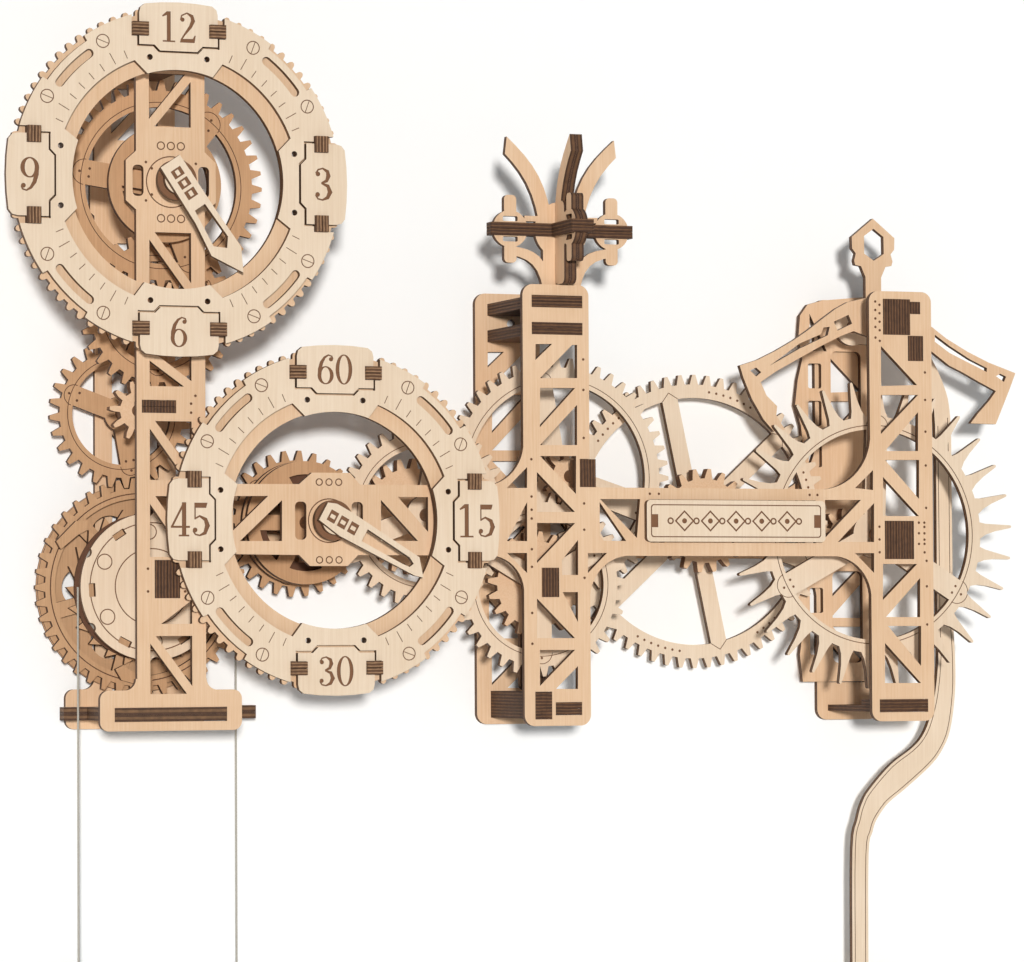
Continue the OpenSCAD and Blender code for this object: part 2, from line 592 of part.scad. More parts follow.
// ---- three-way ornament on the middle tower -------------------------------
// a curved blade of even width w: its back runs out to the tip and its inner edge is cut short
module blade(tip, base, w, bow, side) {
  d = base - tip;
  n = [-d[1], d[0]] / norm(d) * side;
  cut = 0.14;
  outline(concat([for (t = [0 : 0.125 : 1]) tip + d * t + n * (bow * sin(180 * t))],
    [for (t = [1 : -0.125 : cut]) tip + d * t + n * (bow * sin(180 * t) - w)],
    [tip + d * cut + n * (bow * sin(180 * cut) - w)]));
}
module lug_ring(c) translate(c) {
  difference() {
    circle(8.5);
    rounded(-3.6, 3.5, 3.6, 5.8, 0.6);
    rounded(-3.6, -5.8, 3.6, -3.5, 0.6);
  }
  for (s = [-1, 1]) rounded(-3, s > 0 ? 6.5 : -15.5, 3, s > 0 ? 15.5 : -6.5, 2);
}
module ornament_front() color(tan) etched(ply) {
  difference() {
    union() {
      for (x = [1, 51]) lug_ring([x, 115.3]);
      blade([-0.5, 157.5], [22, 117], 6.8, 5, 1);
      blade([52.5, 157.5], [30, 117], 6.8, 5, -1);
      blade([0, 107.5], [21, 88], 5, 7, 1);
      blade([52, 107.5], [31, 88], 5, 7, -1);
      translate([26, 115.3]) circle(13);
      rounded(17, 86, 35, 108, 2);
      box2(8, 119, 44, 121.5);
    }
    for (x = [-12, 47]) box2(x, 112.2, x + 17, 118.2);
    box2(22.9, 80, 29.1, 104);
  }
  for (s = [-1, 1]) translate([26 + 20 * s, 130]) rotate(-28 * s) box2(-0.2, -8, 0.2, 16);
}
// two sheets that copy one arm, standing square to the other two
module ornament_side() color(tan) for (x0 = [23, 26.03]) side_plate(x0, 2.97) difference() {
  union() {
    lug_ring([-14, 115.3]);
    blade([-15.5, 157.5], [4, 117], 6.8, 5, 1);
    rounded(-8, 90.2, 2.6, 128, 3);
    translate([-3.4, 115.3]) circle(9);
    rounded(1, 90.2, 14, 126, 2);
  }
  box2(-40, 112.2, -9.1, 118.2);
  box2(2.8, 104, 6.2, 140);
}
module ornament_level() color(dark) for (z = [112.3, 115.3])
  at_wall() translate([0, 0, z]) linear_extrude(2.8) difference() {
    union() {
      rounded(-9, 1, 61, 8, 1);
      rounded(20.5, -24, 31.5, 17, 1);
    }
    box2(4.9, 2.9, 47.1, 6.1);
    box2(22.9, -9.2, 29.1, 14.2);
  }

// ---- hour train --------------------------------------------------------------
module hour_hand() color(pale) {
  hand(hour, -16, 145.8,
    [[-9, -5.3], [-9, 5.3], [20, 5.5], [hour_len - 10, 6.2], [hour_len, 0.6], [hour_len - 14, -7.6],
      [20, -5.7]],
    [[15, -2.8], [15, 2.8], [hour_len - 17, 3.6], [hour_len - 13, 0.4], [hour_len - 17, -4.4]]);
  washers(hour, -12.8, [6.5, 9, 6.5]);
}
module hour_arbor() color(tan) rod(hour, -14.9, wall_y - 1.2, arbor_r);
module hour_collar() color(pale) difference() {
  plate(9) {
    translate(hour) ring(26, 20);
    spokes(hour, [172, 52, -68], 21, 8);
    translate(hour) circle(7);
  }
  rod(hour, 8, 13, arbor_r);
}
module hour_wheel() color(pale) rim_wheel(hour, 15, 40, hour_turn, 35, 9, [172, 52, -68], 11, 37);
module motion_wheel() color(pale) rim_wheel(motion, 22, 30, motion_turn, 23, 8, [30, 150, 270], 9, 25.5);
module motion_arbor() color(tan)
  arbor_with(motion, 1.2, wall_y - 1.2, 14, 10, motion_turn);
module transfer_wheel() color(pale) rim_wheel(transfer, 48, 28, transfer_turn, 23, 8, [160, 40, 280],
  9, 25);
module transfer_arbor() color(tan)
  arbor_with(transfer, 1.2, wall_y - 1.2, 21, 10, transfer_turn);

// ---- great wheel and drum ----------------------------------------------------
module great_wheel() color(pale) {
  difference() {
    etched(48) {
      union() {
        difference() {
          toothed(great, 42, great_turn);
          translate(great) circle(40);
        }
        spokes(great, [15, 75, 135, 195, 255, 315], 41, 7);
        translate(great) circle(12);
      }
      translate(great) ring(42.5, 42);
    }
    rod(great, 47, 52, bearing_r);
  }
}
// three clicks that stand on the great wheel around the ratchet
module clicks() color(pale) for (a = [15, 135, 255])
  plate(45) translate(great) rotate(a) outline([[36.4, 0], [39, -3], [43, 1], [43, 14], [39, 15], [38,
    5]]);
module great_arbor() color(steel) rod(great, 1.2, wall_y - 1.2, arbor_r);
module drum_core() color(pale) difference() {
  union() {
    rod(great, 34, 44, drum_r - 1.2);
    rod(great, 34, 36.5, drum_r);
    rod(great, 42.5, 44, drum_r + 2);
  }
  rod(great, 33, 45, arbor_r);
}
module drum_flange() color(pale) difference() {
  etched(31) {
    translate(great) difference() {
      circle(33);
      for (a = [3 : 60 : 303]) rotate(a) translate([27.7, 0]) square([3, 6], center = true);
      for (a = [33 : 60 : 333]) rotate(a) translate([34, 0]) circle(2.5, $fn = 24);
    }
    translate(great) {
      ring(28.9, 28.4);
      ring(17.3, 16.8);
      for (a = [33 : 60 : 333]) rotate(a) translate([24.6, 0]) ring(3.6, 3.1);
    }
  }
  rod(great, 30, 35, arbor_r);
}
module ratchet_wheel() color(pale) difference() {
  plate(44) translate(great) outline([for (i = [0 : 23], v = [[36, 0], [32.5, 7.5], [31,
    14]]) polar(v[0], 15 * i + v[1])]);
  rod(great, 43, 48, arbor_r);
}
module rear_pulley() color(pale) difference() {
  union() {
    rod(great, 52, 53.2, pulley_r + 1.5);
    rod(great, 53, 55, pulley_r);
    rod(great, 54.8, 56, pulley_r + 1.5);
  }
  rod(great, 51, 57, arbor_r);
  for (a = [0 : 60 : 300]) at_wall() translate([great[0], 57, great[1]]) rotate([90, 0, 0])
    rotate(a) translate([27, 0, 0]) cylinder(h = 6, r = 9);
}
// hanging cords: a straight tube swept along a list of points
function tube_points(path, r, n) = [for (p = path) for (k = [0 : n - 1]) p + [r * cos(360 * k / n),
  r * sin(360 * k / n), 0]];
function tube_faces(m, n) = concat([[for (k = [0 : n - 1]) k]],
  [for (i = [0 : m - 2]) for (k = [0 : n - 1]) [i * n + k, (i + 1) * n + k, (i + 1) * n + (k + 1) % n,
    i * n + (k + 1) % n]],
  [[for (k = [n - 1 : -1 : 0]) (m - 1) * n + k]]);
module cord(x, y, z_top) {
  path = [for (i = [0 : 16]) [x, y, z_top + (hang_z - 2 - z_top) * i / 16]];
  at_wall() polyhedron(tube_points(path, cord_d / 2, 8), [for (f = tube_faces(17,
    8)) [for (i = [len(f) - 1 : -1 : 0]) f[i]]]);
}
module weight_cord() color(dark) cord(weight_x - 0.3, weight_y, great[1]);
module counter_cord() color(dark) cord(counter_x + 0.3, counter_y, great[1]);
// a turned weight whose neck is drilled for its cord
module hung(x, y, r, h) at_wall() translate([x, y, hang_z]) difference() {
  union() {
    translate([0, 0, -h]) cylinder(h = h - 6, r = r);
    translate([0, 0, -6]) cylinder(h = 4, r1 = r, r2 = r * 0.55);
    translate([0, 0, -2]) cylinder(h = 2, r = 2.4);
  }
  translate([0, 0, -2.1]) cylinder(h = 3, r = cord_d / 2 + 0.1);
}
module weight() color(steel) hung(weight_x - 0.3, weight_y, weight_r, weight_len);
module counterweight() color(steel) hung(counter_x + 0.3, counter_y, counter_r, counter_len);

// ---- minute arbor and going train -----------------------------------------
module minute_hand() color(pale) {
  hand(minute, -13, 118.8,
    [[-8, -4.4], [-8, 4.4], [-4, 6], [4, 6], [minute_len - 6, 3.9], [minute_len, -3.2],
      [minute_len - 4, -4.4], [4, -6]],
    [[14, -3], [14, 3], [minute_len - 10, 1.6], [minute_len - 7, 0], [minute_len - 8, -2.2],
      [minute_len - 12, -2.6]]);
  washers(minute, -9.8, [6.5, 9, 6.5]);
}
module minute_arbor() color(tan) rod(minute, -11.9, wall_y - 1.2, arbor_r);
module minute_wheel() color(pale) rim_wheel(minute, 48, 28, minute_turn, 23, 8, [20, 140, 260], 9, 25);
module minute_rings() color(pale) difference() {
  for (s = [[33, 28, 22], [36.4, 24, 18], [39.8, 28, 22], [43.2, 24, 18]]) plate(s[0]) {
    translate(minute) ring(s[1], s[2]);
    spokes(minute, [60 : 60 : 360], s[2] + 1, 7);
    translate(minute) circle(8);
  }
  rod(minute, 30, 48, arbor_r);
}
module second_wheel() color(pale) rim_wheel(second, 28, 36, second_turn, 31, 9, [80, 200, 320], 10, 33);
module second_arbor() color(tan)
  arbor_with(second, 1.2, wall_y - 1.2, 47, 22, second_turn, wheel_tooth);
module third_wheel() color(pale) rim_wheel(third, 22, 36, third_turn, 31, 9, [30, 150, 270], 10, 33);
module third_arbor() color(tan) {
  rod(third, 1.2, 34.4, arbor_r);
  plate(27) toothed(third, 20, third_turn);
  plate(26, 1.2) translate(third) circle(6);
  plate(28.5, 2.2) toothed(third, 20, third_turn);
}
module fourth_wheel() color(pale) rim_wheel(fourth, 36, 48, fourth_turn, 44, 10, [100, 220, 340], 10, 46);
module fourth_arbor() color(tan)
  arbor_with(fourth, 1.2, wall_y - 1.2, 21, 10, fourth_turn);
module fifth_pinion() color(tan) difference() {
  plate(35, 5) toothed(fifth, 20, fifth_turn);
  rod(fifth, 34, 41, arbor_r);
}
module fifth_wheel() color(pale) difference() {
  angles = [for (k = [0 : 5]) 42 + 60 * k];
  etched(47) {
    union() {
      difference() {
        toothed(fifth, 60, fifth_turn);
        translate(fifth) circle(58.5);
      }
      spokes(fifth, angles, 59.5, 8);
      translate(fifth) circle(12);
    }
    translate(fifth) for (a = angles) rotate(a) {
      line([58.4, -4], [62, 0]);
      line([58.4, 4], [62, 0]);
      dots([for (k = [-3 : 3]) polar(61.8, 3.5 * k + 30)]);
    }
  }
  rod(fifth, 46, 51, arbor_r);
}
module fifth_arbor() color(tan) rod(fifth, 1.2, wall_y - 1.2, arbor_r);
module escape_wheel() color(pale) difference() {
  etched(14) {
    union() {
      translate(escape) {
        ring(56, 49.8);
        for (i = [0 : escape_teeth - 1]) rotate(3.2 + 360 / escape_teeth * i)
          outline([polar(55, 3.2), polar(56.2, 2.9), polar(59, 2), polar(escape_r - 0.5, 0.5),
            polar(escape_r, 0),
            polar(escape_r - 0.5, -0.5), polar(64, -1.6), polar(59, -3), polar(56.5, -4.6), polar(55,
              -5.4)]);
      }
      spokes(escape, [-152, -32, 88], 50.5, 11);
      translate(escape) circle(11);
    }
    union() {
      translate(escape) ring(51.9, 51.5);
      lobes(escape, [-152, -32, 88], 51, 11);
    }
  }
  rod(escape, 13, 18, arbor_r);
}
module escape_arbor() color(tan)
  arbor_with(escape, 1.2, wall_y - 1.2, 46, 10, escape_turn);

// ---- anchor and pendulum ----------------------------------------------------
module anchor_shape() {
  outline([[121.9, 55.8], [131.1, 58.7], [140.4, 63.1], [149.8, 68.3], [157.6, 73.4], [165.5, 79.2],
    [171.8, 83.6], [178.1, 86.9], [187, 89], [196, 88.4], [204, 85], [222.2, 76.2], [230.2, 70.6],
    [241.3, 64.6], [252.5, 59.6], [267, 54.7], [263.7, 46.7], [256.2, 30], [242.6, 30.2], [246.6, 35],
    [253, 41.5], [256.4, 45.9], [247.6, 50.1], [238, 54.9], [231.6, 57.7], [222.1, 64.4], [206, 70.5],
    [191, 70], [181.1, 73.2], [174.8, 70.9], [163.8, 65.7], [151.3, 59.1], [140.4, 53.3], [132.6, 48.2],
    [135.6, 41.9], [141, 37], [140.5, 32.8], [145, 26], [139.3, 25], [134, 30.6], [127.9, 40.4],
      [123.7, 50.2]]);
  box2(187.6, 80, 195.8, 106);
  outline([[187.6, 99], [185.3, 104.2], [182.2, 104.7], [181.7, 106.8], [182.6, 110.2], [180.7, 112.5],
    [180.5, 118],
    [191.7, 127], [203, 118], [202.8, 112.5], [200.9, 110.2], [201.9, 106.8], [201.3, 104.7], [198.2,
      104.2], [195.8, 99]]);
}
module anchor_holes() {
  outline([[192, 122.2], [197.2, 118.4], [197.3, 110.3], [192, 106.9], [187, 110.3], [187, 118.6]]);
  outline([[137.3, 56], [152.9, 64.4], [167.6, 71], [168.6, 75], [165.4, 74.6], [164, 71.4], [152.9,
    66.8]]);
  outline([[127.2, 53.7], [130.3, 55], [132.9, 52.9], [130.3, 50.8]]);
  translate([175.6, 77.1]) rotate(24) square([8.4, 4.6], center = true);
  outline([[224, 72.4], [231.7, 67.2], [242.9, 60.8], [251.7, 56.9], [251.6, 55], [231.7, 63.8], [224,
    69]]);
  outline([[256.5, 53.1], [258.9, 54.3], [262, 52.9], [260.8, 50.4]]);
}
module anchor() color(tan) difference() {
  plate(18) difference() {
    anchor_shape();
    anchor_holes();
  }
  rod(anchor_c, 17, 22, arbor_r);
}
module anchor_arbor() color(tan) rod(anchor_c, 1.2, wall_y - 1.2, arbor_r);
// the rod's two edges: one from the anchor round to the foot, the other back up again
rod_outer = [[191, 85], [200, 84], [216, 78], [230, 67], [239.5, 50], [243, 34], [243.4, 0], [243.6, -60],
  [244.4, -80.8], [244.2, -98.8], [241.4, -116.7], [236.5, -127], [230, -134.3], [217.7, -144.1], [209,
    -150.4],
  [205.4, -154], [201.5, -159.4], [199.5, -164.8], [197.3, -175.7], [196.7, -227], [196.7, -246]];
rod_inner = [[188.1, -246], [188.3, -226.6], [188.8, -172.6], [191.5, -158.8], [194, -151], [198, -144.6],
  [209.3, -133], [220.4, -125.4], [226, -120], [230, -112.3], [233.5, -99], [235.4, -81], [235, -60],
  [234.8, 30], [231, 46], [222, 58], [208, 67], [191, 69]];
// a smooth curve through points: each span is a cubic set by its neighbours
function span(a, b, c, d, t) =
  (2 * b + (c - a) * t + (2 * a - 5 * b + 4 * c - d) * t * t + (3 * b - a - 3 * c + d) * t * t * t) / 2;
function curved(p, k = 4) = concat(
  [for (i = [0 : len(p) - 2]) for (j = [0 : k - 1])
    span(p[max(i - 1, 0)], p[i], p[i + 1], p[min(i + 2, len(p) - 1)], j / k)],
  [p[len(p) - 1]]);
module rod_shape() outline(concat(curved(rod_outer), curved(rod_inner)));
// a burnt line that follows an edge, gap inside it
module edge_line(p, gap = 1.3) {
  near = [for (v = p) [v[0], v[1], 2 * gap]];
  far = [for (v = p) [v[0], v[1], 2 * (gap + line_w)]];
  outline(concat([for (i = [0 : len(p) - 1]) stroke_side(near, i, -1)],
    [for (i = [len(p) - 1 : -1 : 0]) stroke_side(far, i, -1)]));
}
module pendulum_rod() color(pale) difference() {
  etched(40) {
    union() {
      rod_shape();
      translate(anchor_c) circle(9);
    }
    union() {
      edge_line(curved([for (i = [5 : 20]) rod_outer[i]]));
      edge_line(curved([for (i = [0 : 13]) rod_inner[i]]));
    }
  }
  rod(anchor_c, 39, 44, arbor_r);
}
module bob() color(steel) {
  for (y0 = [37, 43]) plate(y0) translate([rod_x, bob_z]) difference() {
    circle(bob_r);
    for (a = [0 : 60 : 300]) rotate(a) translate([bob_r * 0.62, 0]) circle(3);
  }
  for (s = [-1, 1]) rod([rod_x + 13 * s, bob_z], 40, 43, 3.6);
  rod([rod_x, bob_z - 14], 40, 43, 3.6);
}

// ---- the sub-parts that call the shapes above -----------------------------
module hour_dial_ring() color(pale) dial_ring(hour, -12);
module hour_dial_rack() color(tan) dial_rack(hour, -9);
module hour_plates() color(pale) number_plates(hour, -12.4, [[1, 2], [3], [6], [9]]);
module hour_clips() color(dark) clip_set(hour, -12);
module hour_spacers() color(tan) dial_spacers(hour, -6, true);
module minute_dial_ring() color(pale) dial_ring(minute, -9);
module minute_dial_rack() color(tan) dial_rack(minute, -6);
module minute_plates() color(pale) number_plates(minute, -9.4, [[6, 0], [1, 5], [3, 0], [4, 5]]);
module minute_clips() color(dark) clip_set(minute, -9);
module minute_spacers() color(tan) dial_spacers(minute, -3, false);

tower_left_front();
tower_left_back();
main_front();
main_back();
rear_panel();
bearing_blocks();
combs();
foot_platform();
nameplate();
ornament_front();
ornament_side();
ornament_level();
hour_dial_ring();
hour_dial_rack();
hour_plates();
hour_clips();
hour_spacers();
minute_dial_ring();
minute_dial_rack();
minute_plates();
minute_clips();
minute_spacers();
hour_hand();
hour_arbor();
hour_collar();
hour_wheel();
motion_wheel();
motion_arbor();
transfer_wheel();
transfer_arbor();
great_wheel();
clicks();
great_arbor();
drum_core();
drum_flange();
ratchet_wheel();
rear_pulley();
weight_cord();
counter_cord();
weight();
counterweight();
minute_hand();
minute_arbor();
minute_wheel();
minute_rings();
second_wheel();
second_arbor();
third_wheel();
third_arbor();
fourth_wheel();
fourth_arbor();
fifth_wheel();
fifth_pinion();
fifth_arbor();
escape_wheel();
escape_arbor();
anchor();
anchor_arbor();
pendulum_rod();
bob();
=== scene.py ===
import math

import bpy
import numpy as np
from mathutils import Matrix, Vector


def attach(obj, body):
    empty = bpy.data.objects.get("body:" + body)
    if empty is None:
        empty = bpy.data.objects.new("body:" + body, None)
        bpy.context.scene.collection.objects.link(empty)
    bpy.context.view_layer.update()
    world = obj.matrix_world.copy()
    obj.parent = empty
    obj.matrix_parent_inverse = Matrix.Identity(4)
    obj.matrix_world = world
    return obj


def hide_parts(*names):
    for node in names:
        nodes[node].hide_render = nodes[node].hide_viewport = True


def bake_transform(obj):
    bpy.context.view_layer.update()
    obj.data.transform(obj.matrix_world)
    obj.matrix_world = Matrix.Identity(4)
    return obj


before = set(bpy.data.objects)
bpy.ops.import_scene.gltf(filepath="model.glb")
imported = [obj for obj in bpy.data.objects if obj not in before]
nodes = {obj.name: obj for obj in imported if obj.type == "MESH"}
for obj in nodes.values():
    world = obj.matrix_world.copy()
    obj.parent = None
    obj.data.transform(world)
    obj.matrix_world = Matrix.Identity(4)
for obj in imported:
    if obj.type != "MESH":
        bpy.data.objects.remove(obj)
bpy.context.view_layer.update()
mm = 0.001


# The clock is drawn about a working point: its wall screw sits here from that point.
wallScrew = np.array([22.0, 60.0, 76.0])


def at(x, y, z):  # millimetres about the working point -> metres about the wall screw
    return Vector((np.array([x, y, z]) - wallScrew) * mm)


# camera: degrees round from the front and up, roll; distance back, lens, sensor and far limit in millimetres
view = {"across": 21.2, "up": 2.1, "roll": -0.32, "distance": 1977.3, "lens": 152.93, "sensor": 36.0,
        "limit": 50000.0}


def makeCamera():
    across, up, roll = (math.radians(view[k]) for k in ("across", "up", "roll"))
    ahead = Vector((math.sin(across) * math.cos(up), math.cos(across) * math.cos(up), math.sin(up)))
    right = Vector((math.cos(across), -math.sin(across), 0.0))
    above = right.cross(ahead)
    turnedRight = math.cos(roll) * right + math.sin(roll) * above
    turnedAbove = math.cos(roll) * above - math.sin(roll) * right
    data = bpy.data.cameras.new("camera")
    data.lens = view["lens"]
    data.sensor_width = view["sensor"]
    data.clip_end = view["limit"] * mm
    camera = bpy.data.objects.new("camera", data)
    spot = at(0, 0, 0) - ahead * view["distance"] * mm
    camera.matrix_world = Matrix((
        (turnedRight.x, turnedAbove.x, -ahead.x, spot.x),
        (turnedRight.y, turnedAbove.y, -ahead.y, spot.y),
        (turnedRight.z, turnedAbove.z, -ahead.z, spot.z),
        (0, 0, 0, 1)))
    bpy.context.scene.collection.objects.link(camera)
    bpy.context.scene.camera = camera


makeCamera()
print("camera placed")


# points is rows x columns x 3: each row is one closed ring of the surface, and flat caps close the two ends
def meshFromRings(name, points):
    rows, cols = points.shape[:2]
    r, c = np.meshgrid(np.arange(rows - 1), np.arange(cols), indexing="ij")
    nextCol = (c + 1) % cols
    quads = np.stack([r * cols + c, r * cols + nextCol, (r + 1) * cols + nextCol, (r + 1) * cols + c], -1)
    faces = quads.reshape(-1, 4).tolist()
    faces += [list(range(cols))[::-1], [(rows - 1) * cols + k for k in range(cols)]]
    mesh = bpy.data.meshes.new(name)
    mesh.from_pydata(points.reshape(-1, 3).tolist(), [], faces)
    mesh.polygons.foreach_set("use_smooth", np.ones(len(mesh.polygons), bool))
    mesh.update()
    piece = bpy.data.objects.new(name, mesh)
    bpy.context.scene.collection.objects.link(piece)
    return piece


# cords: taut lines that carry the weights, three strands twisted together; sizes and heights in millimetres
cordMake = {"top": -47.5, "foot": -227.0, "thick": 1.0, "lay": 4.0, "strands": 3, "dip": 0.07,
            "rows": 320, "sides": 12}
cords = {
    "weight_cord": {"spot": at(-192.5, 41, 0), "body": "weight"},
    "counter_cord": {"spot": at(-114.7, 54, 0), "body": "counterweight"},
}
leaveAt = at(0, 0, cordMake["top"]).z
hangAt = at(0, 0, cordMake["foot"]).z
cordThick = cordMake["thick"] * mm


# radius at angle a and height h: half the thickness times 1 - dip + dip cos(strands (a - 2 pi h / lay))
def cordTube(name, spot):
    h, a = np.meshgrid(np.linspace(0, leaveAt - hangAt, cordMake["rows"]),
                       np.linspace(0, 2 * np.pi, cordMake["sides"], endpoint=False), indexing="ij")
    wave = np.cos(cordMake["strands"] * (a - 2 * np.pi * h / (cordMake["lay"] * mm)))
    radius = cordThick / 2 * (1 - cordMake["dip"] + cordMake["dip"] * wave)
    points = np.stack([spot.x + radius * np.cos(a), spot.y + radius * np.sin(a), hangAt + h], -1)
    return meshFromRings(name, points)


for name, c in cords.items():
    c["piece"] = cordTube("twisted_" + name, c["spot"])
    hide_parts(name)
    c["top"] = Vector((c["spot"].x, c["spot"].y, leaveAt))
    c["foot"] = Vector((c["spot"].x, c["spot"].y, hangAt))
print("cords made")


# materials
def linear(hexColour):  # sRGB hex -> linear red, green, blue, 1
    parts = np.array([int(hexColour[k:k + 2], 16) for k in (1, 3, 5)]) / 255
    return (*np.where(parts <= 0.04045, parts / 12.92, ((parts + 0.055) / 1.055) ** 2.4), 1.0)


def newMaterial(name):
    material = bpy.data.materials.new(name)
    material.use_nodes = True
    tree = material.node_tree
    tree.nodes.clear()
    return material, tree


# adds one node and gives back its outputs; a socket's value is a number, a colour or another node's output
def add(tree, kind, sockets=None, **settings):
    made = tree.nodes.new("ShaderNode" + kind)
    for key, value in settings.items():
        setattr(made, key, value)
    for key, value in (sockets or {}).items():
        if isinstance(value, bpy.types.NodeSocket):
            tree.links.new(value, made.inputs[key])
        else:
            made.inputs[key].default_value = value
    return made.outputs


def finishWith(tree, colour, rough, bump=None, **shader):
    sockets = {"Base Color": colour, "Roughness": rough, **shader}
    if bump is not None:
        sockets["Normal"] = bump
    surface = add(tree, "BsdfPrincipled", sockets)[0]
    add(tree, "OutputMaterial", {"Surface": surface})


# birch plywood in millimetres: sheet, engraving depth and how far either side of it counts, half the paler
# middle ply, width and length of the grain, clouds of colour, pitch of the plies on a stacked end and the
# length over which they waver, patches of soot, and the depth of the fibres
plywood = {"thick": 3.0, "burn": 0.4, "burnHalf": 0.12, "coreHalf": 0.55, "grainWide": 0.8, "grainLong": 30.0,
           "cloud": 35.0, "veneer": 1.45, "waver": 3.85, "soot": 2.38, "relief": 0.2}
# how much the fibres and the clouds count, where their sum starts and ends the change from face to streak
# colour, how much the soot covers, roughness of the face and what the fibres add to it
grainLook = {"fibres": 0.75, "clouds": 0.55, "from": 0.42, "to": 0.88, "sooty": 0.8, "rough": 0.6,
             "uneven": 0.2}
woodIor = 1.45
flatFrom = 0.7  # a surface whose normal has at least this share along the sheet's own axis is its sawn face
pale = {"face": "#EAD5BD", "streak": "#DEC5A9", "floor": "#7C5438", "edge": "#5E3F2A", "core": "#8F6947",
        "char": "#2A1B12"}
tan = {"face": "#E6C5A4", "streak": "#D8B08A", "floor": "#6C452B", "edge": "#563825", "core": "#835B3B",
       "char": "#2A1B12"}
# a darker copy of the tan tone in every colour, face, floor, edge, core and char: painted shade for the wheels
# set back behind the plates
paintedShadeTan = {"face": "#CBA17A", "streak": "#B58B65", "floor": "#5F3C26", "edge": "#4C3121", "core": "#755036",
         "char": "#261810"}
clipTone = {"edge": "#6E4A31", "core": "#B98F69", "char": "#3A281B"}


# fine fibres drawn out along one axis, and soft clouds of colour: these make the sawn face of a birch veneer
def woodFace(tree, place, tone, longWay=2):
    stretch = [1000 / plywood["grainWide"]] * 3
    stretch[longWay] = 1000 / plywood["grainLong"]
    drawnOut = add(tree, "Mapping", {0: place, 3: stretch})[0]
    fibres = add(tree, "TexNoise", {0: drawnOut, "Scale": 1.0, "Detail": 4.0, "Roughness": 0.6})[0]
    cloud = add(tree, "TexNoise", {0: place, "Scale": 1000 / plywood["cloud"], "Detail": 3.0})[0]
    clouds = add(tree, "Math", {0: cloud, 1: grainLook["clouds"]}, operation="MULTIPLY")[0]
    both = add(tree, "Math", {0: fibres, 1: grainLook["fibres"], 2: clouds}, operation="MULTIPLY_ADD")[0]
    figure = add(tree, "MapRange", {0: both, 1: grainLook["from"], 2: grainLook["to"]})[0]
    colours = {6: linear(tone["face"]), 7: linear(tone["streak"])}
    return fibres, add(tree, "Mix", {0: figure, **colours}, data_type="RGBA")[2]


# soot left by the laser: small dark patches over a cut edge
def sooted(tree, place, colour, tone):
    patches = add(tree, "TexNoise", {0: place, "Scale": 1000 / plywood["soot"], "Detail": 3.0})[0]
    soot = add(tree, "Math", {0: patches, 1: grainLook["sooty"]}, operation="MULTIPLY")[0]
    return add(tree, "Mix", {0: soot, 6: colour, 7: linear(tone["char"])}, data_type="RGBA")[2]


# fibres that stand a little proud of the sawn face
def fibreBump(tree, fibres):
    return add(tree, "Bump", {"Strength": 0.12, "Distance": plywood["relief"] * mm, "Height": fibres})[0]


# 1 on faces turned along the normal's given axis, either way, and 0 on the sides between them
def faceMask(tree, facing):
    turnedTo = add(tree, "Math", {0: facing}, operation="ABSOLUTE")[0]
    return add(tree, "Math", {0: turnedTo, 1: flatFrom}, operation="GREATER_THAN")[0]


# laser-cut plywood: a smooth matt face, brown engraving, and charred edges with one paler ply in the middle;
# start is where a sheet begins along axis, in millimetres
def laserPlywood(name, tone, axis=1, start=0.0, longWay=2):
    thick = plywood["thick"]
    material, tree = newMaterial(name)
    place = add(tree, "TexCoord")["Object"]
    facing = add(tree, "SeparateXYZ", {0: add(tree, "NewGeometry")["Normal"]})[axis]
    metres = add(tree, "SeparateXYZ", {0: place})[axis]
    sheet = add(tree, "Math", {0: metres, 1: 1000 / thick, 2: -start / thick}, operation="MULTIPLY_ADD")[0]
    within = add(tree, "Math", {0: sheet}, operation="FRACT")[0]
    depth = add(tree, "Math", {0: within, 1: thick}, operation="MULTIPLY")[0]
    middle = add(tree, "Math", {0: depth, 1: thick / 2, 2: plywood["coreHalf"]}, operation="COMPARE")[0]
    colours = {6: linear(tone["edge"]), 7: linear(tone["core"])}
    edge = sooted(tree, place, add(tree, "Mix", {0: middle, **colours}, data_type="RGBA")[2], tone)
    fibres, face = woodFace(tree, place, tone, longWay)
    sunk = add(tree, "Math", {0: depth, 1: plywood["burn"], 2: plywood["burnHalf"]}, operation="COMPARE")[0]
    toFront = add(tree, "Math", {0: facing, 1: -flatFrom}, operation="LESS_THAN")[0]
    engraved = add(tree, "Math", {0: sunk, 1: toFront}, operation="MULTIPLY")[0]
    face = add(tree, "Mix", {0: engraved, 6: face, 7: linear(tone["floor"])}, data_type="RGBA")[2]
    colour = add(tree, "Mix", {0: faceMask(tree, facing), 6: edge, 7: face}, data_type="RGBA")[2]
    rough = add(tree, "Math", {0: fibres, 1: grainLook["uneven"], 2: grainLook["rough"]},
                operation="MULTIPLY_ADD")[0]
    finishWith(tree, colour, rough, fibreBump(tree, fibres), IOR=woodIor)
    return material


# sheets glued face to face and seen on their cut ends: dark glue and char lines with paler cores between them;
# across is the way the sheets are stacked, "x", "z", or "out" from the middle of a dial
stackLook = {"waver": 2.2, "darkFrom": 0.1, "paleFrom": 0.75, "rough": 0.75, "strength": 0.35}


